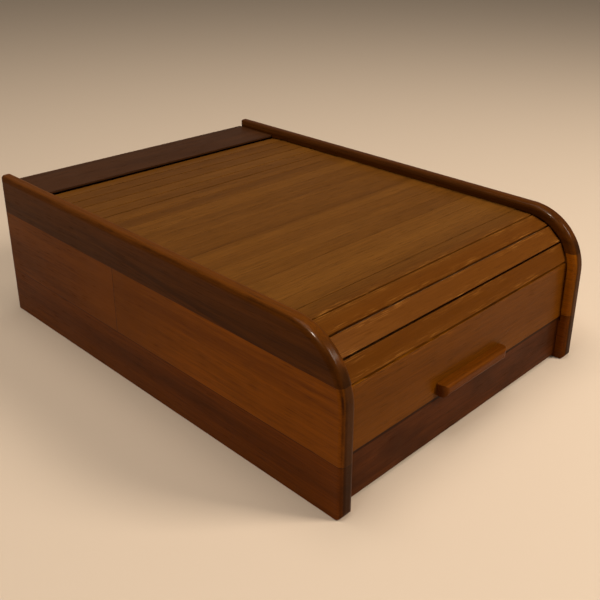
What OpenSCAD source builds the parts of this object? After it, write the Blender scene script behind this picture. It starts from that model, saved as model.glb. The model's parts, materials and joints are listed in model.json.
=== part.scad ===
// Bread box with a roll top: two solid side boards, a tambour curtain in grooves.
// Units are millimetres. Origin: centre of the footprint, on the table.
// +Z is up, the handle side faces -Y, the left side board is at -X.

/* [Overall size] */
// outside width across the two side boards
width = 296; // [270:1:340]
// outside depth, front to back
depth = 420; // [360:1:500]
// height of the side boards
height = 131; // [120:1:160]
// thickness of a side board
side_t = 12.5; // [10:0.5:18]
// radius of the front top corner of a side board
corner_r = 50; // [42:0.5:70]
// rounding of the side boards' edges
edge_r = 4.5; // [1:0.5:5]
// small corner at the front foot of a side board
foot_r = 5.5; // [2:0.5:10]

/* [Side staves] */
// height of the lowest stave
stave_1 = 41.5; // [30:0.5:60]
// height of the seam between middle and top stave
stave_2 = 98; // [62:1:110]
// position of the butt joint in the middle stave, from the middle of the box
butt_y = 36; // [-100:1:100]

/* [Curtain] */
// how far the curtain's face lies inside the outline of the sides
inset = 8.5; // [7:0.5:12]
// slat thickness
slat_t = 3; // [2.5:0.5:6]
// slat pitch, measured on the canvas
pitch = 16; // [12:0.5:18]
// gap between slats at the canvas
slat_gap = 0.8; // [0.5:0.1:1]
// how much wider the front slats are at their outer face, per edge
front_flare = 0.2; // [0:0.05:0.2]
// gap between slats that stay on the flat
flat_gap = 0.12; // [0.05:0.01:0.5]
// chamfer on the slats' long edges
slat_bevel = 0.2; // [0.2:0.1:1]
// height of the lead rail
lead_h = 50; // [30:0.5:56]
// lead rail length above the start of the front bend
lead_over = 9; // [0:0.5:14]
// canvas thickness
canvas_t = 0.6; // [0.4:0.1:1]
// how far each canvas strip ends short of a joint
canvas_cut = 0.7; // [0.5:0.1:1]
// canvas width
canvas_w = 240; // [150:1:262]
// least length of curtain that stays behind the start of the rear bend
tail_over = 4; // [0:1:15]
// travel of the curtain
travel = 75; // [60:1:80]
// bend radius of the canvas at the rear
rear_r = 52; // [40:1:60]
// front edge of the cap, from the rear
cap_depth = 53; // [45:1:75]
// depth of the side grooves
groove_d = 5; // [4:0.5:7]
// running clearance of a tongue in its groove, per face
groove_gap = 0.3; // [0.2:0.1:0.6]
// clearance at each end of a slat that has no tongue
end_gap = 0.7; // [0.5:0.1:1.5]

/* [Fixed boards] */
// front rail thickness
rail_t = 12; // [9:0.5:16]
// front rail underside
rail_z = 3; // [2:0.5:12]
// how far the front rail sits behind the curtain's face line
rail_back = 1; // [0.5:0.5:3]
// gap between the front rail and the lead rail above it
lead_gap = 0.8; // [0.2:0.1:1.5]
// floor underside above the front rail underside
floor_up = 5; // [3:0.5:10]
// floor thickness
floor_t = 6; // [4:0.5:10]
// cap top below the top of the sides
cap_drop = 6.5; // [4:0.5:8]
// clearance between the cap and the curtain in the rear bend
cap_gap = 1.6; // [1:0.1:2]
// thickness of the cap board at its rear edge
cap_t = 20; // [12:1:26]
// thickness of the back and the inner back
back_t = 6; // [4:0.5:8]
// front face of the inner back, behind the start of the rear bend
inner_back_gap = 22; // [5:1:24]
// top of the inner back, above the centre of the rear bend
inner_rise = 18; // [0:1:22]
// how far the back lies inside the rear edges of the sides
back_in = 0.5; // [0:0.5:5]
// free way between the curtain and the back
rear_gap = 3; // [2:0.5:6]
// free way between the open curtain's tail and its stops
stop_gap = 1; // [0.5:0.5:5]
// how far the tail stops reach in front of the curtain's way down
stop_in = 7; // [4:0.5:10]
// distance of a back screw from the ends of a tail stop
stop_screw_in = 8; // [5:1:12]
// width of a tail stop and of a floor cleat
cleat_w = 14; // [10:1:20]
// height of a floor cleat
cleat_h = 7; // [5:0.5:10]

/* [Handle] */
// handle length
handle_l = 80; // [60:1:120]
// handle height
handle_h = 9.5; // [9:0.5:18]
// how far the handle stands out
handle_p = 8; // [5:0.5:8]
// handle underside above the lead rail's lower edge
handle_up = 2.5; // [1:0.5:20]
// distance of a handle screw from the handle's end
handle_screw_in = 12; // [8:1:20]

/* [Fixings] */
// dowel diameter
dowel_d = 6; // [4:0.5:8]
// dowel length in a side board
dowel_in = 7; // [5:0.5:9]
// screw shank diameter
screw_d = 3; // [2:0.5:4]
// screw head diameter
head_d = 6; // [4:0.5:8]

/* [Hidden] */
$fn = 64;
hw = width / 2;
hd = depth / 2;
ix = hw - side_t;                 // inner face of a side board
arc_y = -hd + corner_r;           // centre of the front bend
arc_z = height - corner_r;
can_r = corner_r - inset - slat_t; // canvas bend radius, front
can_z = arc_z + can_r;            // canvas height on the flat
arc_l = can_r * PI / 2;
back_y = hd - back_in - back_t;   // front face of the back
rear_y = back_y - rear_gap - slat_t - rear_r; // centre of the rear bend
rear_z = can_z - rear_r;
top_l = rear_y - arc_y;
lead_p0 = lead_over - lead_h;
n_slats = ceil((arc_l + top_l + tail_over - lead_over) / pitch);
n_front = ceil((arc_l - lead_over) / pitch); // slats that lie in the front bend
n_top = floor((arc_l + top_l - travel - lead_over) / pitch); // last slat that stays on the flat
rail_y = -hd + inset + rail_back; // front face of the front rail
rail_top = arc_z + lead_p0 - lead_gap;
floor_z = rail_z + floor_up;
cap_y = hd - cap_depth;
cap_z = height - cap_drop;
cap_low = cap_z - cap_t;
cap_clear = rear_r + slat_t + cap_gap;
inner_y = rear_y + inner_back_gap;
inner_top = rear_z + inner_rise;
tail_end = lead_over + pitch * n_slats + travel - (arc_l + top_l + rear_r * PI / 2);
stop_z = rear_z - max(tail_end, 0) - stop_gap;
stop_y = rear_y + rear_r - stop_in;
handle_z = arc_z + lead_p0 + handle_up;
screw_z = handle_z + handle_h / 2 + 1;

// one curtain station: [y, z, direction in degrees] at path length p
function on_arc(a) = [arc_y - can_r * cos(a), arc_z + can_r * sin(a)];
function on_rear(a) = [rear_y + rear_r * sin(a), rear_z + rear_r * cos(a)];
function at(p) =
    p < 0 ? [arc_y - can_r, arc_z + p]
  : p < arc_l ? on_arc(p / can_r * 180 / PI)
  : p < arc_l + top_l ? [arc_y + p - arc_l, can_z]
  : p < arc_l + top_l + rear_r * PI / 2 ? on_rear((p - arc_l - top_l) / rear_r * 180 / PI)
  : [rear_y + rear_r, rear_z - (p - arc_l - top_l - rear_r * PI / 2)];
function turn(p) =                // direction of the track, degrees above +Y
    p < 0 ? 90
  : p < arc_l ? 90 - p / can_r * 180 / PI
  : p < arc_l + top_l ? 0
  : p < arc_l + top_l + rear_r * PI / 2 ? -(p - arc_l - top_l) / rear_r * 180 / PI
  : -90;
function beside(p, d) = at(p) + d * [-sin(turn(p)), cos(turn(p))];
function edge(k) = k == 0 ? lead_p0 : lead_over + pitch * (k - 1);

function two(n) = n < 10 ? str("0", n) : str(n);
sides_names = [for (s = ["left", "right"])
    for (b = ["bottom_stave", "middle_rear_stave", "middle_front_stave", "top_stave"]) str(s, "_", b)];
slat_names = [for (k = [1:n_slats]) str("slat_", two(k))];
canvas_names = [for (k = [1:n_front]) str("canvas_", two(k))];
tail_names = [for (k = [n_top + 1:n_slats]) str("canvas_", two(k))];

module round_board() {
    // a board standing in X 0..side_t with its front, top and rear edges rounded
    difference() {
        slab(side_t);
        for (f = [0, 1]) translate([f * side_t, 0, 0]) mirror([f, 0, 0]) {
            translate([0, -hd, -1]) linear_extrude(arc_z + 1) edge_waste();
            translate([0, hd, -1]) mirror([0, 1, 0]) linear_extrude(height + 2) edge_waste();
            translate([0, arc_y, height]) rotate([-90, 0, 0])
                linear_extrude(hd + 1 - arc_y) edge_waste();
            translate([0, arc_y, arc_z]) rotate([0, 90, 0]) rotate([0, 0, 180])
                rotate_extrude(angle = 90, $fn = 128)
                    translate([corner_r, 0]) mirror([1, 0]) edge_waste();
        }
    }
}
module edge_waste() {
    // what a rounding cutter takes off a corner that points to -X and -Y
    difference() {
        translate([-1, -1]) square([edge_r + 1, edge_r + 1]);
        translate([edge_r, edge_r]) circle(r = edge_r);
    }
}
module slab(t) {
    // the outline of a side board
    rotate([90, 0, 90]) linear_extrude(t) difference() {
        translate([-hd, 0]) square([depth, height]);
        corner_waste(-hd, height, corner_r, -1);
        corner_waste(-hd, 0, foot_r, 1);
    }
}
module corner_waste(y, z, r, up) {
    // what a rounding cut takes off a front corner of the outline
    difference() {
        translate([y - 1, up > 0 ? z - 1 : z - r]) square([r + 1, r + 1]);
        translate([y + r, z + up * r]) circle(r = r, $fn = 128);
    }
}
module groove() {
    // the track of the slat tongues, cut into the inner face at X 0
    lo = canvas_t + groove_gap;
    up = slat_t + groove_gap;
    rear_p = arc_l + top_l;
    end_p = rear_p + rear_r * PI / 2 + rear_z - stop_z;
    stations = concat([rail_top - 4 - arc_z], [for (i = [0:18]) arc_l * i / 18],
        [for (i = [0:18]) rear_p + rear_r * PI / 2 * i / 18], [end_p]);
    rotate([90, 0, 90]) linear_extrude(groove_d + 0.1) polygon(concat(
        [for (p = stations) beside(p, up)],
        [for (i = [len(stations) - 1:-1:0]) beside(stations[i], -lo)]));
}
module x_hole(y, z, d, l) {
    translate([0, y, z]) rotate([0, 90, 0]) cylinder(d = d, h = l);
}
module side_holes(l) {
    for (p = dowel_spots) x_hole(p[0], p[1], dowel_d, l);
}
dowel_spots = [[rail_y + rail_t / 2, rail_z + 10], [rail_y + rail_t / 2, rail_top - 10],
    [hd - 13, cap_z - 9], [hd - 28, cap_z - 6.5]];
module left_side() {
    difference() {
        translate([-hw, 0, 0]) round_board();
        translate([-ix - groove_d, 0, 0]) groove();
        translate([-ix - dowel_in, 0, 0]) side_holes(dowel_in + 1);
    }
}
module stave_box(b) {
    big = hd + 5;
    if (b == 0) translate([-hw - 1, -big, -1]) cube([side_t + 2, 2 * big, stave_1 + 1]);
    if (b == 1) translate([-hw - 1, butt_y, stave_1]) cube([side_t + 2, big, stave_2 - stave_1]);
    if (b == 2) translate([-hw - 1, butt_y - 2 * big, stave_1])
        cube([side_t + 2, 2 * big, stave_2 - stave_1]);
    if (b == 3) translate([-hw - 1, -big, stave_2]) cube([side_t + 2, 2 * big, height]);
}
module stave(b, right) {
    color([[0.24, 0.13, 0.06], [0.42, 0.22, 0.1], [0.33, 0.18, 0.08], [0.36, 0.19, 0.09]][b])
        mirror([right ? 1 : 0, 0, 0]) intersection() {
            left_side();
            stave_box(b);
        }
}

module front_rail() {
    color([0.28, 0.15, 0.09]) difference() {
        translate([-ix, rail_y, rail_z]) cube([2 * ix, rail_t, rail_top - rail_z]);
        rail_dowel_holes(16);
    }
}
module rail_dowel_holes(l) {
    for (p = dowel_spots) for (s = [-1, 1]) translate([s > 0 ? ix - l : -ix - 1, 0, 0])
        x_hole(p[0], p[1], dowel_d, l + 1);
}
module cap_board() {
    color([0.25, 0.15, 0.1]) difference() {
        translate([-ix, 0, 0]) rotate([90, 0, 90]) linear_extrude(2 * ix) difference() {
            translate([cap_y, cap_low]) square([cap_depth, cap_z - cap_low]);
            translate([rear_y, rear_z]) circle(r = cap_clear, $fn = 128);
        }
        rail_dowel_holes(16);
    }
}
module back_panel() {
    color([0.5, 0.36, 0.22]) difference() {
        translate([-ix, back_y, rail_z]) cube([2 * ix, back_t, cap_low - rail_z]);
        for (p = back_spots) translate([p[0], hd, p[1]]) rotate([90, 0, 0]) {
            cylinder(d = screw_d, h = 30);
            cylinder(d = head_d, h = 2.5);
        }
    }
}
back_spots = [for (s = [-1, 1]) for (z = [floor_z + floor_t + stop_screw_in, stop_z - stop_screw_in])
    [s * (ix - cleat_w / 2), z]];
module back_screws() {
    color([0.72, 0.6, 0.35]) for (p = back_spots) translate([p[0], hd - back_in, p[1]])
        rotate([90, 0, 0]) {
            cylinder(d = screw_d, h = 12);
            cylinder(d = head_d, h = 2);
        }
}
module bottom_panel() {
    color([0.52, 0.38, 0.24]) difference() {
        translate([-ix, rail_y + rail_t, floor_z])
            cube([2 * ix, back_y - rail_y - rail_t, floor_t]);
        for (p = floor_spots) translate([p[0], p[1], floor_z - 1]) cylinder(d = screw_d, h = 5.5);
    }
}
floor_spots = [for (s = [-1, 1]) for (y = [-hd + 60, 0, hd - 60]) [s * (ix - cleat_w / 2), y]];
module floor_cleats() {
    color([0.45, 0.3, 0.18]) difference() {
        for (s = [-1, 1]) translate([s > 0 ? ix - cleat_w : -ix, rail_y + rail_t, floor_z - cleat_h])
            cube([cleat_w, back_y - rail_y - rail_t, cleat_h]);
        for (p = floor_spots) translate([p[0], p[1], floor_z - cleat_h - 1]) {
            cylinder(d = screw_d, h = 12);
            cylinder(d = head_d, h = 3.5);
        }
    }
}
module bottom_screws() {
    color([0.72, 0.6, 0.35]) for (p = floor_spots) translate([p[0], p[1], floor_z - cleat_h + 0.5]) {
        cylinder(d = screw_d, h = 11);
        cylinder(d = head_d, h = 2);
    }
}
module inner_back() {
    color([0.5, 0.36, 0.22]) translate([-ix, inner_y, floor_z + floor_t])
        cube([2 * ix, back_t, inner_top - floor_z - floor_t]);
}
module tail_stops() {
    color([0.45, 0.3, 0.18]) difference() {
        for (s = [-1, 1]) translate([s > 0 ? ix - cleat_w : -ix, stop_y, floor_z + floor_t])
            cube([cleat_w, back_y - stop_y, stop_z - floor_z - floor_t]);
        for (p = back_spots) translate([p[0], hd, p[1]]) rotate([90, 0, 0]) cylinder(d = screw_d, h = 30);
    }
}
module dowels() {
    color([0.75, 0.6, 0.4]) for (p = dowel_spots) for (s = [-1, 1])
        translate([s > 0 ? ix - 15.5 : -ix - dowel_in + 0.5, 0, 0])
            x_hole(p[0], p[1], dowel_d, 15 + dowel_in);
}

module piece(p0, p1, t, cut, chamfer, x0, flare = 0) {
    // a bar whose inner face is the chord of the track from p0 to p1
    c = cut - flare;
    a = at(p0);
    b = at(p1);
    l = norm(b - a);
    translate([0, (a[0] + b[0]) / 2, (a[1] + b[1]) / 2])
        rotate([atan2(b[1] - a[1], b[0] - a[0]), 0, 0])
            translate([-x0, 0, 0]) rotate([90, 0, 90]) linear_extrude(2 * x0)
                polygon([[-l / 2 + cut, 0], [l / 2 - cut, 0], [l / 2 - c, t - chamfer],
                    [l / 2 - c - chamfer, t], [-l / 2 + c + chamfer, t],
                    [-l / 2 + c, t - chamfer]]);
}
module slat(k) {
    top = k > n_front && k <= n_top;
    color(k % 2 == 0 ? [0.46, 0.29, 0.14] : [0.43, 0.27, 0.13])
        piece(edge(k), edge(k + 1), slat_t, (top ? flat_gap : slat_gap) / 2,
            top ? 0 : slat_bevel,
            top ? ix + groove_d - 0.5 : ix - end_gap, k <= n_front ? front_flare : 0);
}
module canvas(k) {
    color([0.55, 0.5, 0.4]) piece_under(edge(k) + canvas_cut, edge(k + 1) - canvas_cut);
}
module piece_under(p0, p1) {
    a = at(p0);
    b = at(p1);
    l = norm(b - a);
    m = edge_mid(p0 - canvas_cut, p1 + canvas_cut);
    translate([0, m[0], m[1]]) rotate([m[2], 0, 0]) translate([-canvas_w / 2, -l / 2, -canvas_t])
        cube([canvas_w, l, canvas_t]);
}
function edge_mid(p0, p1) = let (a = at(p0), b = at(p1))
    [(a[0] + b[0]) / 2, (a[1] + b[1]) / 2, atan2(b[1] - a[1], b[0] - a[0])];
module canvas_top_run() {
    color([0.55, 0.5, 0.4]) translate([-canvas_w / 2, 0, 0])
        translate([0, at(edge(n_front + 1))[0] + canvas_cut, can_z - canvas_t])
            cube([canvas_w, pitch * (n_top - n_front) - 2 * canvas_cut, canvas_t]);
}
screw_spots = [-1, 1] * (handle_l / 2 - handle_screw_in);
lead_y = arc_y - can_r;           // inner face of the lead rail, low end
module lead_rail() {
    color([0.44, 0.28, 0.13]) difference() {
        piece(lead_p0, lead_over, slat_t, slat_gap / 2, slat_bevel, ix - end_gap, front_flare);
        handle_holes(lead_y + 1, 8);
    }
}
module handle_holes(y, l) {
    for (x = screw_spots) translate([x, y, screw_z]) rotate([90, 0, 0]) cylinder(d = screw_d, h = l);
}
module handle() {
    r = 3;
    y0 = -hd + inset - handle_p;
    color([0.45, 0.28, 0.12]) difference() {
        intersection() {
            translate([-handle_l / 2, 0, 0]) rotate([90, 0, 90]) linear_extrude(handle_l) union() {
                translate([y0 + r, handle_z]) square([handle_p + 6 - r, handle_h]);
                translate([y0, handle_z + r]) square([handle_p, handle_h - 2 * r]);
                for (z = [r, handle_h - r]) translate([y0 + r, handle_z + z]) circle(r = r);
            }
            translate([0, 0, handle_z - 1]) linear_extrude(handle_h + 2) union() {
                for (s = [-1, 1]) translate([s * (handle_l / 2 - 5), y0 + 5]) circle(r = 5);
                translate([-handle_l / 2 + 5, y0]) square([handle_l - 10, 30]);
                translate([-handle_l / 2, y0 + 5]) square([handle_l, 30]);
            }
        }
        lead_block();
        handle_holes(lead_y + 1, slat_t + 6.5);
    }
}
module lead_block() {
    // everything behind the lead rail's front face
    m = edge_mid(lead_p0, lead_over);
    translate([-handle_l, m[0], m[1]]) rotate([m[2], 0, 0]) translate([0, -30, -30])
        cube([2 * handle_l, 60, 30 + slat_t]);
}
module handle_screws() {
    color([0.72, 0.6, 0.35]) for (x = screw_spots) translate([x, lead_y + 0.9, screw_z])
        rotate([90, 0, 0]) {
            cylinder(d = screw_d, h = slat_t + 6);
        }
}

left_bottom_stave();
left_middle_rear_stave();
left_middle_front_stave();
left_top_stave();
right_bottom_stave();
right_middle_rear_stave();
right_middle_front_stave();
right_top_stave();
front_rail();
cap_board();
back_panel();
bottom_panel();
inner_back();
tail_stops();
floor_cleats();
dowels();
handle_screws();
back_screws();
bottom_screws();
lead_rail();
handle();
canvas_top_run();
for (k = [1:n_front]) canvas(k);
for (k = [n_top + 1:n_slats])
    canvas(k);
for (k = [1:n_slats]) slat(k);

module left_bottom_stave() stave(0, false);
module left_middle_rear_stave() stave(1, false);
module left_middle_front_stave() stave(2, false);
module left_top_stave() stave(3, false);
module right_bottom_stave() stave(0, true);
module right_middle_rear_stave() stave(1, true);
module right_middle_front_stave() stave(2, true);
module right_top_stave() stave(3, true);
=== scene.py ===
# %% [markdown]
# # A bread box with a roll top
# The box is two thick side boards, a fixed rail in front, a fixed cap board behind, and between
# them a curtain of thin slats glued to canvas. The curtain runs in grooves in the sides.
# The shapes come from the CAD model. This lesson gives them their wood, softens their edges,
# and adds the woven canvas and the slotted screws, which are easier to make in Blender.

# %% Load the frame
import json
import math
import bpy
from mathutils import Matrix, Vector

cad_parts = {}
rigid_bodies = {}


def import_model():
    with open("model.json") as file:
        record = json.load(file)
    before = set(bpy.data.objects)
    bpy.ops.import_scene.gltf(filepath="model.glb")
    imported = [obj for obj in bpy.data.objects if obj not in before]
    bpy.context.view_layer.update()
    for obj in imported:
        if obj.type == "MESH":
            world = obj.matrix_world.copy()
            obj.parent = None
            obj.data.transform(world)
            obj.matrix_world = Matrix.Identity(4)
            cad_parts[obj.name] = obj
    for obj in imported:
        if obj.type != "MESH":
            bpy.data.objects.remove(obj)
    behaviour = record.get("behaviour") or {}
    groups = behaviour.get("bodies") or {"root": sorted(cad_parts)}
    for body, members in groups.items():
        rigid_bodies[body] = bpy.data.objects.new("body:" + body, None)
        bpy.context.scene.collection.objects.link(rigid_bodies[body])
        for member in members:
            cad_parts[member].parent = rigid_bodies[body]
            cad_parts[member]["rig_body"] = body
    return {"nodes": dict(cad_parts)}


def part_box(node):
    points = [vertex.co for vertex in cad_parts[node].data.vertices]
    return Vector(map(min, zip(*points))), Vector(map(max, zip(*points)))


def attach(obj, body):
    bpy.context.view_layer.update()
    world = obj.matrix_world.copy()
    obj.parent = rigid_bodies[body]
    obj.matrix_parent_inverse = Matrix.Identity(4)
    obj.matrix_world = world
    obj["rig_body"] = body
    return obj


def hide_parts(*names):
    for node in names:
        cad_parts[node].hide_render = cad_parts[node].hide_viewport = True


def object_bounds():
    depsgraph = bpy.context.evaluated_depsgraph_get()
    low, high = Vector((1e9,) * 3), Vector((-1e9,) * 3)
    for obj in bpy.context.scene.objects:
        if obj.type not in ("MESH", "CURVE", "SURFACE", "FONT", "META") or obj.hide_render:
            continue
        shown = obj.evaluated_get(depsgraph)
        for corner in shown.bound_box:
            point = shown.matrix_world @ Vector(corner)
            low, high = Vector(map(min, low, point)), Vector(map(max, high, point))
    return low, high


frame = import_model()
cad_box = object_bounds()
nodes = frame["nodes"]
low, high = Vector(cad_box[0]), Vector(cad_box[1])
print("box size, mm:", [round(1000 * (b - a)) for a, b in zip(low, high)])

# %% [markdown]
# ## Places that the materials share
# Several finishes need to know where the curtain runs: the centre of its front bend and the
# height of its flat stretch. They are measured on the nodes, so they follow the model.

# %% Measure the boards and the curtain
SIDE_LOW, SIDE_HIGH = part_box("left_bottom_stave")
REAR_LOW, REAR_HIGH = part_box("left_middle_rear_stave")
FLAT_LOW, FLAT_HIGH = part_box("slat_10")
NEXT_LOW, NEXT_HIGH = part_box("slat_11")
SEAM_1 = SIDE_HIGH.z
SEAM_2 = REAR_HIGH.z
BUTT_Y = REAR_LOW.y
PITCH = NEXT_LOW.y - FLAT_LOW.y
JOINT_Y = (FLAT_HIGH.y + NEXT_LOW.y) / 2
print(f"seams at {SEAM_1:.3f} and {SEAM_2:.3f}, butt joint at {BUTT_Y:.3f}, pitch {PITCH:.4f}")

# %% [markdown]
# ## Camera
# The box is seen from above its front left corner, a little turned, through a normal lens that is
# shifted down, so that upright edges stay nearly upright.
# An empty scene has no camera, so one is made and aimed by its angles.

# %% Camera
AZIMUTH, ELEVATION, ROLL = -46.38, 23.2, 0.89
camera_data = bpy.data.cameras.new("camera")
camera_data.lens = 50.15
camera_data.shift_x, camera_data.shift_y = -0.0358, -0.0941
camera_data.sensor_width = 36
camera_data.clip_start = 0.02
camera = bpy.data.objects.new("camera", camera_data)
bpy.context.scene.collection.objects.link(camera)
camera.rotation_mode = "XYZ"
camera.location = (-0.4625, -0.4892, 0.3743)
aim = Vector((-math.sin(math.radians(AZIMUTH)) * math.cos(math.radians(ELEVATION)),
              math.cos(math.radians(AZIMUTH)) * math.cos(math.radians(ELEVATION)),
              -math.sin(math.radians(ELEVATION))))
facing_box = aim.to_track_quat("-Z", "Y").to_matrix()
camera.rotation_euler = (facing_box @ Matrix.Rotation(math.radians(ROLL), 3, "Z")).to_euler()
bpy.context.scene.camera = camera
print("camera looks along", [round(v, 3) for v in aim])

# %% [markdown]
# ## Floor and light
# A wide pale floor runs past the edges of the view. The main soft lamp stands in front and to the
# right, so the curtain's front is as bright as its top. A broad one hangs above, and a small one
# near it draws the bright line along the rounded corner: it is switched off for diffuse light, so
# it adds a highlight and no brightness. The colours are shown without a film curve, which would
# grey the warm wood.

# %% Floor
bpy.ops.object.select_all(action="DESELECT")
bpy.ops.mesh.primitive_plane_add(size=14, location=(0, 0, low.z - 0.0002))
floor = bpy.context.object
floor.name = "floor"
floor_paint = bpy.data.materials.new("pale floor")
floor_paint.use_nodes = True
floor_shader = floor_paint.node_tree.nodes["Principled BSDF"]
floor_shader.inputs["Base Color"].default_value = (0.59, 0.475, 0.375, 1)
floor_shader.inputs["Roughness"].default_value = 0.85
floor.data.materials.append(floor_paint)
print("floor at z", round(floor.location.z, 4))

# %% Lights
WARM_WHITE, SOFT_WHITE = (1, 0.9, 0.76), (1, 0.91, 0.78)
world = bpy.data.worlds.new("studio")
bpy.context.scene.world = world
world.use_nodes = True
world.node_tree.nodes["Background"].inputs["Color"].default_value = (*WARM_WHITE, 1)
world.node_tree.nodes["Background"].inputs["Strength"].default_value = 0.2
bpy.context.scene.view_settings.view_transform = "Standard"


def soft_lamp(name, place, target, size, power, colour=WARM_WHITE):
    data = bpy.data.lights.new(name, "AREA")
    data.shape = "SQUARE"
    data.size = size
    data.energy = power
    data.color = colour
    lamp = bpy.data.objects.new(name, data)
    bpy.context.scene.collection.objects.link(lamp)
    lamp.location = place
    lamp.rotation_euler = (Vector(target) - Vector(place)).to_track_quat("-Z", "Y").to_euler()
    return lamp


soft_lamp("front key", (0.72, -1.2, 1.2), (0, -0.05, 0.05), 0.5, 27.5)
soft_lamp("ceiling", (-0.2, 0.1, 1.75), (0, 0, 0.1), 1.1, 19.5, SOFT_WHITE)
glint = soft_lamp("corner glint", (-0.5, -0.28, 1.25), (-0.15, -0.18, 0.12), 0.08, 28)
glint.visible_diffuse = False

# %% [markdown]
# ## Helpers for materials
# A finish is a small tree of shader nodes. `put` adds one node and feeds its inputs, each with
# either a plain value or another node's output, so that a material reads from top to bottom.

# %% Node helpers
def feed(tree, socket, value):
    if isinstance(value, bpy.types.NodeSocket):
        tree.links.new(value, socket)
    else:
        socket.default_value = value


def put(tree, kind, inputs=(), **settings):
    made = tree.nodes.new(kind)
    for name, value in settings.items():
        setattr(made, name, value)
    for name, value in dict(inputs).items():
        feed(tree, made.inputs[name], value)
    made.location = (180 * (len(tree.nodes) % 12), -220 * (len(tree.nodes) // 12))
    return made


def calc(tree, operation, *values):
    made = put(tree, "ShaderNodeMath", operation=operation)
    for socket, value in zip(made.inputs, values):
        feed(tree, socket, value)
    return made.outputs[0]


def ease(tree, value, start, end):
    """0 below start, 1 above end, and smooth between them."""
    made = put(tree, "ShaderNodeMapRange", interpolation_type="SMOOTHSTEP")
    feed(tree, made.inputs["Value"], value)
    feed(tree, made.inputs["From Min"], start)
    feed(tree, made.inputs["From Max"], end)
    return made.outputs["Result"]


def mix(tree, amount, a, b):
    made = put(tree, "ShaderNodeMix", data_type="RGBA")
    feed(tree, made.inputs[0], amount)
    feed(tree, made.inputs[6], a)
    feed(tree, made.inputs[7], b)
    return made.outputs[2]


def noise(tree, vector, scale, detail=3.0, roughness=0.55, distortion=0.0):
    made = put(tree, "ShaderNodeTexNoise", {"Vector": vector, "Scale": scale, "Detail": detail,
                                            "Roughness": roughness, "Distortion": distortion})
    return made.outputs["Fac"]


def stretch(tree, vector, factors):
    made = put(tree, "ShaderNodeVectorMath", operation="MULTIPLY")
    feed(tree, made.inputs[0], vector)
    made.inputs[1].default_value = factors
    return made.outputs[0]


def group(name, inputs, outputs):
    """An empty node group with typed sockets; returns its tree, input node and output node."""
    tree = bpy.data.node_groups.new(name, "ShaderNodeTree")
    for label, kind in inputs:
        tree.interface.new_socket(name=label, in_out="INPUT", socket_type="NodeSocket" + kind)
    for label, kind in outputs:
        tree.interface.new_socket(name=label, in_out="OUTPUT", socket_type="NodeSocket" + kind)
    return tree, tree.nodes.new("NodeGroupInput"), tree.nodes.new("NodeGroupOutput")


def use(tree, shared, inputs):
    made = tree.nodes.new("ShaderNodeGroup")
    made.node_tree = shared
    for name, value in inputs.items():
        feed(tree, made.inputs[name], value)
    return made.outputs


def axis(tree, vector, index):
    """One coordinate of a vector: 0 is X, 1 is Y, 2 is Z."""
    return put(tree, "ShaderNodeSeparateXYZ", {"Vector": vector}).outputs[index]


print("helpers: put, calc, ease, mix, noise, stretch, group, use, axis")

# %% [markdown]
# ## The figure of the wood
# Teak has slow changes of tone, long dark streaks where the growth rings are cut, fine fibres,
# and short open pores. Each comes from noise drawn out along the grain, which here is X: the
# material turns its coordinates first, so one group serves every board.

# %% Group: wood figure
figure, given, result = group(
    "Wood Figure",
    [("Vector", "Vector"), ("Early", "Color"), ("Late", "Color"), ("Pale", "Color"),
     ("Rings", "Float"), ("Spread", "Float")],
    [("Color", "Color"), ("Pores", "Float"), ("Height", "Float")])
at = given.outputs["Vector"]
tone = noise(figure, stretch(figure, at, (0.9, 11, 11)), 1.0, 2.0, 0.5, 0.3)
streak = noise(figure, stretch(figure, at, (1.6, 75, 75)), 1.0, 5.0, 0.6, 0.2)
fibre = noise(figure, stretch(figure, at, (26, 900, 900)), 1.0, 3.0, 0.6)
pore = noise(figure, stretch(figure, at, (55, 1500, 1500)), 1.0, 1.0, 0.4)
jagged_tone = calc(figure, "ADD", tone, calc(figure, "MULTIPLY", streak, 0.12))
wander = calc(figure, "MULTIPLY", jagged_tone, given.outputs["Rings"])
ring = calc(figure, "PINGPONG", wander, 1.0)
late_line = calc(figure, "MULTIPLY", ease(figure, ring, 0.72, 1.0), 0.65)
late_part = calc(figure, "MAXIMUM", ease(figure, streak, 0.42, 0.68), late_line)
body_colour = mix(figure, calc(figure, "MULTIPLY", late_part, given.outputs["Spread"]),
                  given.outputs["Early"], given.outputs["Late"])
body_colour = mix(figure, calc(figure, "MULTIPLY", ease(figure, tone, 0.48, 0.72), 0.55),
                  body_colour, given.outputs["Pale"])
fibre_shade = put(figure, "ShaderNodeMapRange", {"Value": fibre, "From Min": 0.3, "From Max": 0.7,
                                                 "To Min": 0.78, "To Max": 1.16}).outputs[0]
shaded = put(figure, "ShaderNodeVectorMath", operation="SCALE")
feed(figure, shaded.inputs[0], body_colour)
feed(figure, shaded.inputs["Scale"], fibre_shade)
pore_mask = ease(figure, pore, 0.60, 0.70)
dark_pore = mix(figure, calc(figure, "MULTIPLY", pore_mask, 0.35), shaded.outputs[0],
                (0.015, 0.007, 0.003, 1))
feed(figure, result.inputs["Color"], dark_pore)
feed(figure, result.inputs["Pores"], pore_mask)
feed(figure, result.inputs["Height"],
     calc(figure, "SUBTRACT", calc(figure, "MULTIPLY", fibre, 0.5), pore_mask))
print("wood figure:", len(figure.nodes), "nodes")

# %% [markdown]
# ## Wear
# Hands polish an oiled box unevenly, and knocks leave small pale bruises. The group gives a slow
# mask for the polish and a sparse one for the bruises.

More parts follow.
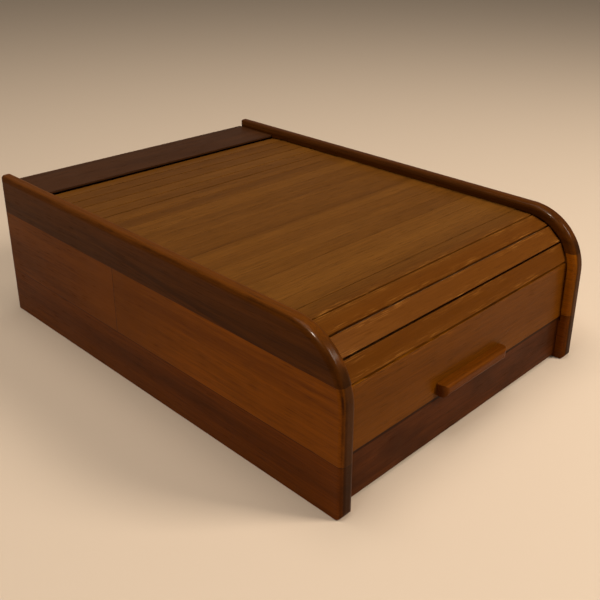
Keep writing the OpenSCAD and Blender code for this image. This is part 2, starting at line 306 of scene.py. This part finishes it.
# %% Group: handling wear
wear, given, result = group("Handling Wear", [("Vector", "Vector"), ("Density", "Float")],
                            [("Polish", "Float"), ("Bruise", "Float")])
at = given.outputs["Vector"]
polish = ease(wear, noise(wear, at, 16.0, 4.0, 0.6, 0.4), 0.35, 0.7)
cells = put(wear, "ShaderNodeTexVoronoi", {"Vector": at, "Scale": 60.0, "Randomness": 1.0})
picked = put(wear, "ShaderNodeSeparateColor", {"Color": cells.outputs["Color"]}).outputs[0]
near = ease(wear, calc(wear, "ADD", cells.outputs["Distance"],
                       calc(wear, "MULTIPLY", noise(wear, at, 900.0, 2.0), 0.12)), 0.115, 0.085)
chosen = calc(wear, "GREATER_THAN", given.outputs["Density"], picked)
feed(wear, result.inputs["Polish"], polish)
feed(wear, result.inputs["Bruise"], calc(wear, "MULTIPLY", near, chosen))
print("handling wear:", len(wear.nodes), "nodes")

# %% [markdown]
# ## Rounded edges
# Where a board's edge is rounded, its surface faces none of the three main directions. That
# gives a mask for the rub-through on edges, with no need to know where the edges are.

# %% Group: edge mask
edges, given, result = group("Edge Mask", [("Normal", "Vector")], [("Edge", "Float")])
facing = put(edges, "ShaderNodeVectorMath", operation="ABSOLUTE")
feed(edges, facing.inputs[0], given.outputs["Normal"])
axes = put(edges, "ShaderNodeSeparateXYZ", {"Vector": facing.outputs[0]}).outputs
flattest = calc(edges, "MAXIMUM", calc(edges, "MAXIMUM", axes[0], axes[1]), axes[2])
feed(edges, result.inputs["Edge"], ease(edges, calc(edges, "SUBTRACT", 1.0, flattest), 0.06, 0.26))
print("edge mask:", len(edges.nodes), "nodes")

# %% [markdown]
# ## Glue lines
# The side boards are glued from staves. A joint shows as a hair-thin dark line at one height.

# %% Group: glue line
glue, given, result = group(
    "Glue Line", [("Value", "Float"), ("Place", "Float"), ("Width", "Float")], [("Line", "Float")])
gap = calc(glue, "ABSOLUTE", calc(glue, "SUBTRACT", given.outputs["Value"], given.outputs["Place"]))
widths_off = calc(glue, "DIVIDE", gap, given.outputs["Width"])
feed(glue, result.inputs["Line"], calc(glue, "SUBTRACT", 1.0, ease(glue, widths_off, 0.4, 1.0)))
print("glue line:", len(glue.nodes), "nodes")

# %% [markdown]
# ## Oiled boards
# One function makes each board's finish from its own colours. The oil film is a thin coat that
# is rougher than lacquer, and the pores stay open under it. What the wood reflects is tinted
# warm, because light sinks into the oil before it comes back.
# A finish may add to this, each as a mask: `patch` is a second tone, `chips` are pale splinters,
# and `lines` are dark joints, or on the front rail a painted shadow line, which are also pressed in.

# %% Function: oiled wood
DARK_LINE = (0.012, 0.005, 0.002, 1)
OIL_TINT = (1, 0.55, 0.25, 1)
ALONG_X, ALONG_Y = (0, 0, 0), (0, 0, math.pi / 2)


def brighter(tone, *factors):
    """A colour with each channel multiplied by its factor, as RGBA."""
    return (*(value * factor for value, factor in zip(tone, factors)), 1)


def oiled_wood(name, early, late, pale, grain=ALONG_X, seed=0.0, rings=9.0, spread=0.8,
               roughness=0.42, bruises=0.05, edge_rub=0.35, lines=None, chips=None, patch=None,
               unroll=None, edge_tone=None, end_grain=0.0, coat=0.05):
    paint = bpy.data.materials.new(name)
    paint.use_nodes = True
    tree = paint.node_tree
    shader = tree.nodes["Principled BSDF"]
    where = put(tree, "ShaderNodeTexCoord")
    spot = unroll(tree, where.outputs["Object"]) if unroll else where.outputs["Object"]
    turned = put(tree, "ShaderNodeMapping", {"Vector": spot, "Rotation": grain,
                                             "Location": (seed, 1.7 * seed, 0.6 * seed)})
    wood = use(tree, figure, {"Vector": turned.outputs[0], "Early": (*early, 1), "Late": (*late, 1),
                              "Pale": (*pale, 1), "Rings": rings, "Spread": spread})
    use_marks = use(tree, wear, {"Vector": where.outputs["Object"], "Density": bruises})
    edge = use(tree, edges, {"Normal": where.outputs["Normal"]})["Edge"]
    colour = wood["Color"]
    if edge_rub:
        rub = calc(tree, "MULTIPLY", edge, calc(tree, "MULTIPLY", use_marks["Polish"], edge_rub))
        colour = mix(tree, rub, colour, (*(edge_tone or pale), 1))
    if end_grain:
        facing_front = calc(tree, "ABSOLUTE", axis(tree, where.outputs["Normal"], 1))
        sawn = ease(tree, facing_front, 0.75, 0.95)
        colour = mix(tree, calc(tree, "MULTIPLY", sawn, end_grain), colour, DARK_LINE)
    colour = mix(tree, calc(tree, "MULTIPLY", use_marks["Bruise"], 0.6), colour,
                 brighter(pale, 1.8, 1.8, 1.8))
    if patch:
        mask, tone = patch
        colour = mix(tree, mask(tree, where.outputs["Object"]), colour, (*tone, 1))
    if chips:
        colour = mix(tree, chips(tree, where.outputs["Object"]), colour,
                     brighter(pale, 1.9, 2.0, 2.4))
    deep = wood["Height"]
    # `lines` darkens joints; on the front rail it paints the shadow under the lead rail.
    if lines:
        line = lines(tree, where.outputs["Object"])
        colour = mix(tree, calc(tree, "MULTIPLY", line, 0.8), colour, DARK_LINE)
        deep = calc(tree, "SUBTRACT", deep, calc(tree, "MULTIPLY", line, 2.0))
    feed(tree, shader.inputs["Base Color"], colour)
    gloss = calc(tree, "ADD", calc(tree, "MULTIPLY", use_marks["Polish"], -0.08),
                 calc(tree, "ADD", calc(tree, "MULTIPLY", wood["Pores"], 0.2), roughness))
    feed(tree, shader.inputs["Roughness"], gloss)
    shader.inputs["Coat Weight"].default_value = coat
    shader.inputs["Coat Roughness"].default_value = 0.16
    shader.inputs["Specular IOR Level"].default_value = 0.03
    shader.inputs["Specular Tint"].default_value = OIL_TINT
    bump = put(tree, "ShaderNodeBump", {"Strength": 0.22, "Distance": 0.0004, "Height": deep})
    feed(tree, shader.inputs["Normal"], bump.outputs[0])
    return paint


def paint_nodes(paint, *names):
    for name in names:
        nodes[name].data.materials.clear()
        nodes[name].data.materials.append(paint)


print("oiled wood is ready")

# %% [markdown]
# ## The side boards
# The lowest stave is the darkest, the middle one is warm and the upper one has the long figure.
# The middle stave is butt-jointed: its rear piece is paler towards the joint.

# %% Masks on the side boards
def seams(tree, where):
    place = put(tree, "ShaderNodeSeparateXYZ", {"Vector": where}).outputs
    first = use(tree, glue, {"Value": place[2], "Place": SEAM_1, "Width": 0.00035})["Line"]
    second = use(tree, glue, {"Value": place[2], "Place": SEAM_2, "Width": 0.0002})["Line"]
    butt = use(tree, glue, {"Value": place[1], "Place": BUTT_Y, "Width": 0.0004})["Line"]
    in_middle = calc(tree, "MULTIPLY", ease(tree, place[2], SEAM_1 - 1e-4, SEAM_1 + 1e-4),
                     ease(tree, place[2], SEAM_2 + 1e-4, SEAM_2 - 1e-4))
    butt = calc(tree, "MULTIPLY", butt, in_middle)
    return calc(tree, "MAXIMUM", calc(tree, "MAXIMUM", first, second), butt)


def toward_joint(reach):
    """A mask that grows from 0 to 1 towards the butt joint, over `reach` metres behind it."""
    def mask(tree, where):
        ripple = calc(tree, "MULTIPLY", noise(tree, where, 30.0), 0.03)
        ragged = calc(tree, "ADD", axis(tree, where, 1), ripple)
        return calc(tree, "MULTIPLY", ease(tree, ragged, BUTT_Y + reach, BUTT_Y + 0.01), 0.6)
    return mask


def long_streak(tree, where):
    """The dark line that crosses the top stave, falling slowly towards the front."""
    place = put(tree, "ShaderNodeSeparateXYZ", {"Vector": where}).outputs
    wave = calc(tree, "MULTIPLY", noise(tree, stretch(tree, where, (1, 9, 9)), 1.0, 2.0), 0.008)
    slope = calc(tree, "MULTIPLY", place[1], 0.082)
    path = calc(tree, "ADD", slope, calc(tree, "ADD", wave, 0.104))
    above = calc(tree, "SUBTRACT", place[2], path)
    heart = calc(tree, "MULTIPLY", ease(tree, above, 0.006, 0.001), ease(tree, above, -0.0012, 0.0))
    second = calc(tree, "MULTIPLY", ease(tree, above, -0.0042, -0.0036),
                  ease(tree, above, -0.0024, -0.003))
    both = calc(tree, "MAXIMUM", heart, calc(tree, "MULTIPLY", second, 0.7))
    fading = calc(tree, "MULTIPLY", ease(tree, place[1], 0.1, 0.03), 0.6)
    return calc(tree, "MULTIPLY", both, fading)


print("masks for the seams, the butt joint and the long streak")

# %% Finish: side staves
EDGE_TONE = (0.034, 0.009, 0.0008)
WARM_DARK, PALE_LIGHT = (0.1273, 0.034, 0.0007), (0.2157, 0.0589, 0.0023)
STAVES = {
    "bottom": ("dark", (0.1399, 0.0332, 0.0009), (0.079, 0.0186, 0.0006),
               (0.1728, 0.0437, 0.0012), 0.4, 6.0, None),
    "middle_front": ("warm", (0.2546, 0.0681, 0.001), (0.1442, 0.0367, 0.0007),
                     (0.297, 0.0865, 0.0015), 1.3, 8.0, (toward_joint(-0.11), WARM_DARK)),
    "middle_rear": ("pale", (0.1466, 0.0366, 0.0015), (0.0776, 0.02, 0.0013),
                    PALE_LIGHT, 2.2, 5.0, (toward_joint(0.10), PALE_LIGHT)),
    "top": ("figured", (0.0913, 0.0247, 0.0017), (0.0406, 0.0109, 0.0009),
            (0.1082, 0.0313, 0.0022), 2.9, 12.0, (long_streak, (0.0385, 0.0107, 0.001))),
}
for side, shift in (("left", 0.0), ("right", 3.1)):
    for stave, (look, early, late, pale, seed, rings, patch) in STAVES.items():
        paint = oiled_wood(f"{side} {look} stave", early, late, pale, ALONG_Y, seed + shift, rings,
                           lines=seams, patch=patch, edge_rub=1.0, edge_tone=EDGE_TONE,
                           end_grain=0.85, coat=0.07)
        paint_nodes(paint, f"{side}_{stave}_stave")
print("side boards painted")

# %% [markdown]
# ## The fixed boards
# The front rail is dark and blotched, and a thin dark line is painted along its top as the shadow
# under the lead rail. The cap board is the darkest piece on top. The boards inside never saw the
# oil and stay pale.

# %% Masks on the front rail
RAIL_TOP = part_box("front_rail")[1].z


def painted_rail_shadow(tree, where):
    """A painted shadow: a thin, ragged dark line along the rail's top, where the lead rail shades it.
    """
    uneven = noise(tree, stretch(tree, where, (30, 200, 200)), 1.0, 2.0)
    ragged = calc(tree, "ADD", axis(tree, where, 2), calc(tree, "MULTIPLY", uneven, 0.001))
    return ease(tree, ragged, RAIL_TOP - 0.0019, RAIL_TOP - 0.0009)


def rail_blotches(tree, where):
    clouds = noise(tree, stretch(tree, where, (13, 30, 30)), 1.0, 3.0)
    return calc(tree, "MULTIPLY", ease(tree, clouds, 0.46, 0.62), 0.75)


print("front rail ends at z", round(RAIL_TOP, 4))

# %% Finish: rail, cap and inner boards
# The front rail's dark line along its top is painted shade from the lead rail above it.
RAIL = oiled_wood("front rail", (0.0636, 0.016, 0.0029), (0.0367, 0.009, 0.0017),
                  (0.0783, 0.0204, 0.004), seed=5.1, rings=4.0, roughness=0.5, lines=painted_rail_shadow,
                  patch=(rail_blotches, (0.03, 0.0075, 0.0012)))
CAP = oiled_wood("cap board", (0.0497, 0.0177, 0.0061), (0.0298, 0.0107, 0.0044),
                 (0.0596, 0.0225, 0.0087), seed=6.3, rings=6.0, roughness=0.45)
PANEL = oiled_wood("inner panels", (0.24, 0.12, 0.05), (0.17, 0.08, 0.032), (0.3, 0.16, 0.07),
                   seed=7.7, rings=7.0, roughness=0.6)
INNER = oiled_wood("bare blocks", (0.36, 0.22, 0.11), (0.27, 0.15, 0.07), (0.42, 0.27, 0.14),
                   ALONG_Y, seed=8.8, rings=5.0, roughness=0.7)
paint_nodes(RAIL, "front_rail")
paint_nodes(CAP, "cap_board")
paint_nodes(PANEL, "back_panel", "bottom_panel", "inner_back")
paint_nodes(INNER, "tail_stops", "floor_cleats", "dowels")
print("rail, cap and inner boards painted")

# %% [markdown]
# ## The curtain's finish
# The slats are sawn one after another from the same board, so the figure runs on across their
# joints. Dirt gathers in the joints, small splinters have left pale chips beside them, and the
# bend is warmer where hands rub it. All of these need the place along the bent track, so one
# group unrolls the curtain and gives the distance to the nearest joint.

# %% Group: curtain track
CORNER_R = 0.05
FIRST_JOINT = 0.009
BEND_Y, BEND_Z = low.y + CORNER_R, high.z - CORNER_R
CANVAS_R = FLAT_LOW.z - BEND_Z
track, given, result = group("Curtain Track", [("Vector", "Vector")],
                             [("Joint", "Float"), ("Flat", "Vector")])
place = put(track, "ShaderNodeSeparateXYZ", {"Vector": given.outputs["Vector"]}).outputs
back = calc(track, "SUBTRACT", place[1], BEND_Y)
up = calc(track, "SUBTRACT", place[2], BEND_Z)
arc_angle = calc(track, "ARCTAN2", calc(track, "MAXIMUM", up, 0.0),
                 calc(track, "MAXIMUM", calc(track, "MULTIPLY", back, -1.0), 1e-6))
run = calc(track, "ADD", calc(track, "MULTIPLY", arc_angle, CANVAS_R),
           calc(track, "ADD", calc(track, "MAXIMUM", back, 0.0), calc(track, "MINIMUM", up, 0.0)))
JOINT_RUN = CANVAS_R * math.pi / 2 + JOINT_Y - BEND_Y
turns = calc(track, "DIVIDE", calc(track, "SUBTRACT", run, JOINT_RUN), PITCH)
off = calc(track, "ABSOLUTE", calc(track, "SUBTRACT", turns, calc(track, "ROUND", turns)))
below_first = calc(track, "LESS_THAN", run, FIRST_JOINT - PITCH / 2)
feed(track, result.inputs["Joint"],
     calc(track, "ADD", calc(track, "MULTIPLY", off, PITCH), below_first))
unrolled = put(track, "ShaderNodeCombineXYZ", {"X": place[0], "Y": run})
feed(track, result.inputs["Flat"], unrolled.outputs[0])
print(f"curtain bends at y {BEND_Y:.4f}, z {BEND_Z:.4f}, radius {CANVAS_R:.4f}")

# %% Masks along the curtain
def unroll(tree, where):
    return use(tree, track, {"Vector": where})["Flat"]


def between(tree, value, start, end, soft):
    """1 from start to end, falling to 0 over `soft` metres on both sides."""
    return calc(tree, "MULTIPLY", ease(tree, value, start - soft, start),
                ease(tree, value, end + soft, end))


def joint_dirt(tree, where):
    along = use(tree, track, {"Vector": where})
    patchy = ease(tree, noise(tree, stretch(tree, where, (14, 90, 90)), 1.0, 3.0), 0.35, 0.65)
    reach = calc(tree, "ADD", calc(tree, "MULTIPLY", patchy, 0.0005), 0.0003)
    on_bend = between(tree, axis(tree, along["Flat"], 1), 0.02, 0.046, 0.004)
    worn = calc(tree, "ADD", calc(tree, "MULTIPLY", on_bend, 0.65), 0.16)
    return calc(tree, "MULTIPLY", ease(tree, along["Joint"], reach, 0.0002), worn)


def joint_chips(tree, where):
    along = use(tree, track, {"Vector": where})
    near = calc(tree, "MULTIPLY", ease(tree, along["Joint"], 0.007, 0.0005),
                between(tree, axis(tree, along["Flat"], 1), 0.004, 0.062, 0.012))
    slivers = noise(tree, stretch(tree, along["Flat"], (55, 2100, 1)), 1.0, 2.0, 0.5)
    clusters = noise(tree, stretch(tree, along["Flat"], (14, 60, 1)), 1.0, 2.0, 0.5)
    sparse = calc(tree, "MULTIPLY", ease(tree, clusters, 0.4, 0.55), 0.8)
    return calc(tree, "MULTIPLY", calc(tree, "MULTIPLY", near, ease(tree, slivers, 0.55, 0.63)), sparse)


def bend_warmth(tree, where):
    run_here = axis(tree, unroll(tree, where), 1)
    return calc(tree, "MULTIPLY", between(tree, run_here, -0.02, 0.045, 0.025), 0.5)


print("masks for joint dirt, chips and the warm bend")

# %% Finish: slats
SLAT_TONES = [((0.1161, 0.0423, 0.0059), (0.0705, 0.0239, 0.0032), (0.1333, 0.0506, 0.0074)),
              ((0.1049, 0.0377, 0.0052), (0.0636, 0.0212, 0.0029), (0.1247, 0.0469, 0.0066)),
              ((0.1221, 0.0451, 0.0063), (0.0757, 0.0258, 0.0036), (0.1393, 0.0534, 0.0081))]
slat_paints = [oiled_wood(f"slats {i}", *tones, seed=4.0, rings=5.0, spread=0.5, roughness=0.4,
                          bruises=0.0, edge_rub=0.0, lines=joint_dirt, chips=joint_chips, unroll=unroll,
                          patch=(bend_warmth, (0.0868, 0.0205, 0.0006)), coat=0.02)
               for i, tones in enumerate(SLAT_TONES)]
SLATS = sorted(n for n in nodes if n.startswith("slat_"))
for i, name in enumerate(SLATS):
    paint_nodes(slat_paints[(i * 7 // 3) % 3], name)
LEAD = oiled_wood("lead rail", (0.1068, 0.0311, 0.0012), (0.0727, 0.0193, 0.0007),
                  (0.1282, 0.0386, 0.0015), seed=4.0, rings=5.0, spread=0.5, roughness=0.4,
                  bruises=0.0, edge_rub=0.0, chips=joint_chips, unroll=unroll)
HANDLE = oiled_wood("handle", (0.1012, 0.0254, 0.0011), (0.0616, 0.0139, 0.0006),
                    (0.1408, 0.0385, 0.0019), seed=9.4, rings=5.0, roughness=0.36, edge_rub=0.5)
paint_nodes(LEAD, "lead_rail")
paint_nodes(HANDLE, "handle")
print(len(SLATS), "slats painted")

# %% [markdown]
# ## Softened edges
# No sanded board has a knife edge. The CAD boards come in as loose triangles, so they are welded
# first and then given a narrow bevel, both as modifiers, which leaves their own mesh untouched.

# %% Soften
def soften(name, width, segments=2):
    weld = nodes[name].modifiers.new("weld", "WELD")
    weld.merge_threshold = 1e-5
    bevel = nodes[name].modifiers.new("soft edges", "BEVEL")
    bevel.width = width
    bevel.segments = segments
    bevel.limit_method = "ANGLE"
    bevel.angle_limit = math.radians(40)
    bevel.harden_normals = True


MOVING_SLATS = [n for n in SLATS if nodes[n]["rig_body"] != "top_run"]
for name in MOVING_SLATS + ["lead_rail"]:
    soften(name, 0.0003)
for name in (n for n in SLATS if n not in MOVING_SLATS):
    soften(name, 0.00005)
for name in ("front_rail", "cap_board"):
    soften(name, 0.0008)
for name in ("back_panel", "bottom_panel", "inner_back", "floor_cleats", "tail_stops"):
    soften(name, 0.0004)
print("softened", sum(bool(o.modifiers) for o in nodes.values()), "boards")

# %% [markdown]
# ## The canvas
# Cotton canvas is glued under the slats and bends where the curtain bends. Each body carries its
# own strip here. A strip is a grid given a thickness, with its UV map in metres, so that the
# weave has one scale on every strip and follows the cloth round the bend.

# %% Group: weave
weave, given, result = group("Plain Weave", [("UV", "Vector"), ("Threads per metre", "Float")],
                             [("Thread", "Float"), ("Height", "Float")])
scaled = put(weave, "ShaderNodeVectorMath", operation="SCALE")
feed(weave, scaled.inputs[0], given.outputs["UV"])
feed(weave, scaled.inputs["Scale"], given.outputs["Threads per metre"])
cloth = put(weave, "ShaderNodeSeparateXYZ", {"Vector": scaled.outputs[0]}).outputs
warp = calc(weave, "ABSOLUTE", calc(weave, "SINE", calc(weave, "MULTIPLY", cloth[0], math.pi)))
weft = calc(weave, "ABSOLUTE", calc(weave, "SINE", calc(weave, "MULTIPLY", cloth[1], math.pi)))
over = calc(weave, "FLOORED_MODULO", calc(weave, "ADD", calc(weave, "FLOOR", cloth[0]),
                                          calc(weave, "FLOOR", cloth[1])), 2.0)
lifted = calc(weave, "ADD", calc(weave, "MULTIPLY", warp, over),
              calc(weave, "MULTIPLY", weft, calc(weave, "SUBTRACT", 1.0, over)))
feed(weave, result.inputs["Thread"], calc(weave, "MULTIPLY", warp, weft))
feed(weave, result.inputs["Height"], lifted)
print("plain weave:", len(weave.nodes), "nodes")

# %% Finish: canvas
CANVAS = bpy.data.materials.new("cotton canvas")
CANVAS.use_nodes = True
cloth_tree = CANVAS.node_tree
cloth_shader = cloth_tree.nodes["Principled BSDF"]
cloth_place = put(cloth_tree, "ShaderNodeTexCoord")
threads = use(cloth_tree, weave, {"UV": cloth_place.outputs["UV"], "Threads per metre": 1400.0})
age = noise(cloth_tree, cloth_place.outputs["Object"], 22.0, 4.0)
cloth_colour = mix(cloth_tree, threads["Thread"], (0.30, 0.25, 0.17, 1), (0.52, 0.45, 0.33, 1))
cloth_colour = mix(cloth_tree, calc(cloth_tree, "MULTIPLY", ease(cloth_tree, age, 0.5, 0.7), 0.4),
                   cloth_colour, (0.26, 0.18, 0.10, 1))
feed(cloth_tree, cloth_shader.inputs["Base Color"], cloth_colour)
cloth_shader.inputs["Roughness"].default_value = 0.9
cloth_shader.inputs["Sheen Weight"].default_value = 0.2
feed(cloth_tree, cloth_shader.inputs["Normal"],
     put(cloth_tree, "ShaderNodeBump", {"Strength": 0.5, "Distance": 0.0003,
                                        "Height": threads["Height"]}).outputs[0])
print("canvas finish:", CANVAS.name)

# %% Canvas strips
CANVAS_THICK = 0.0005


def canvas_strip(name):
    corners = [v.co for v in nodes[name].data.vertices]
    body = nodes[name]["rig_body"]
    wide = max(c.x for c in corners) - min(c.x for c in corners)
    middle = sum(corners, Vector()) / len(corners)
    tilt = CANVAS_TILT[name]
    along = max((c - middle).dot(Vector((0, math.cos(tilt), math.sin(tilt)))) for c in corners) * 2
    bpy.ops.object.select_all(action="DESELECT")
    bpy.ops.mesh.primitive_grid_add(x_subdivisions=60, y_subdivisions=max(4, round(along / 0.003)),
                                    size=1, location=middle, rotation=(tilt, 0, 0))
    strip = bpy.context.object
    strip.name = name + "_cloth"
    strip.scale = (wide, along, 1)
    bpy.ops.object.transform_apply(location=True, rotation=True, scale=True)
    for corner in strip.data.uv_layers.active.data:
        corner.uv = (corner.uv[0] * wide, corner.uv[1] * along)
    thick = strip.modifiers.new("thickness", "SOLIDIFY")
    thick.thickness = CANVAS_THICK
    thick.offset = 0
    bpy.ops.object.modifier_apply(modifier="thickness")
    strip.data.materials.append(CANVAS)
    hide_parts(name)
    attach(strip, body)


def slat_tilt(name):
    """The slope of a slat, from the longest edge direction of its mesh in the YZ plane."""
    points = [v.co for v in nodes[name].data.vertices]
    middle = sum(points, Vector()) / len(points)
    syy = sum((p.y - middle.y) ** 2 for p in points)
    szz = sum((p.z - middle.z) ** 2 for p in points)
    syz = sum((p.y - middle.y) * (p.z - middle.z) for p in points)
    return 0.5 * math.atan2(2 * syz, syy - szz)


CANVAS_SLAT = {n: n.replace("canvas", "slat") for n in nodes if n.startswith("canvas_")}
CANVAS_SLAT["canvas_top_run"] = "slat_12"
CANVAS_TILT = {n: slat_tilt(slat) for n, slat in CANVAS_SLAT.items()}
for name, slat in sorted(CANVAS_SLAT.items()):
    canvas_strip(name)
print(len(CANVAS_SLAT), "canvas strips")

# %% [markdown]
# ## Brass screws
# Slotted brass wood screws hold the back and the floor. One is turned with a countersunk head,
# its slot is cut with a boolean, and the copies are set into the holes.

# %% Finish: brass
BRASS = bpy.data.materials.new("old brass")
BRASS.use_nodes = True
brass_tree = BRASS.node_tree
brass_shader = brass_tree.nodes["Principled BSDF"]
brass_place = put(brass_tree, "ShaderNodeTexCoord").outputs["Object"]
tarnish = ease(brass_tree, noise(brass_tree, brass_place, 700.0, 4.0), 0.4, 0.65)
feed(brass_tree, brass_shader.inputs["Base Color"],
     mix(brass_tree, tarnish, (0.62, 0.43, 0.16, 1), (0.23, 0.14, 0.06, 1)))
feed(brass_tree, brass_shader.inputs["Roughness"],
     calc(brass_tree, "ADD", calc(brass_tree, "MULTIPLY", tarnish, 0.25), 0.3))
brass_shader.inputs["Metallic"].default_value = 1.0
paint_nodes(BRASS, "handle_screws")
print("brass finish:", BRASS.name)


# %% Screws
HEAD_R, SHANK_R = 0.003, 0.0015
HEAD_H, SHANK_H, SHANK_MIDDLE = 0.0019, 0.009, -0.0062
SLOT = (0.008, 0.0007, 0.0014)


def brass_screw(place, direction):
    """A slotted screw whose head faces `direction`, with the head's face centre at `place`."""
    bpy.ops.object.select_all(action="DESELECT")
    bpy.ops.mesh.primitive_cone_add(vertices=32, radius1=SHANK_R, radius2=HEAD_R, depth=HEAD_H,
                                    location=(0, 0, -HEAD_H / 2))
    screw = bpy.context.object
    bpy.ops.object.mode_set(mode="EDIT")
    bpy.ops.mesh.select_all(action="SELECT")
    bpy.ops.mesh.bevel(offset=0.00012, segments=2, affect="EDGES")
    bpy.ops.object.mode_set(mode="OBJECT")
    bpy.ops.mesh.primitive_cylinder_add(vertices=24, radius=SHANK_R * 0.96, depth=SHANK_H,
                                        location=(0, 0, SHANK_MIDDLE))
    shank = bpy.context.object
    bpy.ops.mesh.primitive_cube_add(size=1, location=(0, 0, 0), rotation=(0, 0, 0.6))
    slot_cutter = bpy.context.object
    slot_cutter.scale = SLOT
    bpy.context.view_layer.objects.active = screw
    cut = screw.modifiers.new("slot", "BOOLEAN")
    cut.object = slot_cutter
    bpy.ops.object.modifier_apply(modifier="slot")
    bpy.data.objects.remove(slot_cutter)
    bpy.ops.object.select_all(action="DESELECT")
    for part in (screw, shank):
        part.select_set(True)
    bpy.ops.object.join()
    screw.rotation_euler = Vector(direction).to_track_quat("Z", "Y").to_euler()
    screw.location = place
    bpy.ops.object.transform_apply(location=True, rotation=True, scale=True)
    screw.data.materials.append(BRASS)
    return screw


def screw_set(node, places, direction):
    screws = [brass_screw(place, direction) for place in places]
    bpy.ops.object.select_all(action="DESELECT")
    for screw in screws:
        screw.select_set(True)
    bpy.context.view_layer.objects.active = screws[0]
    bpy.ops.object.join()
    piece = bpy.context.object
    piece.name = node + "_slotted"
    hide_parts(node)
    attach(piece, "carcass")
    print(piece.name, len(places))


near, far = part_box("back_screws")
screw_set("back_screws", [(x, far.y, z) for x in (near.x + HEAD_R, far.x - HEAD_R)
                          for z in (near.z + HEAD_R, far.z - HEAD_R)], (0, 1, 0))
near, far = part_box("bottom_screws")
screw_set("bottom_screws", [(x, y, near.z) for x in (near.x + HEAD_R, far.x - HEAD_R)
                            for y in (near.y + HEAD_R, (near.y + far.y) / 2, far.y - HEAD_R)],
          (0, 0, -1))
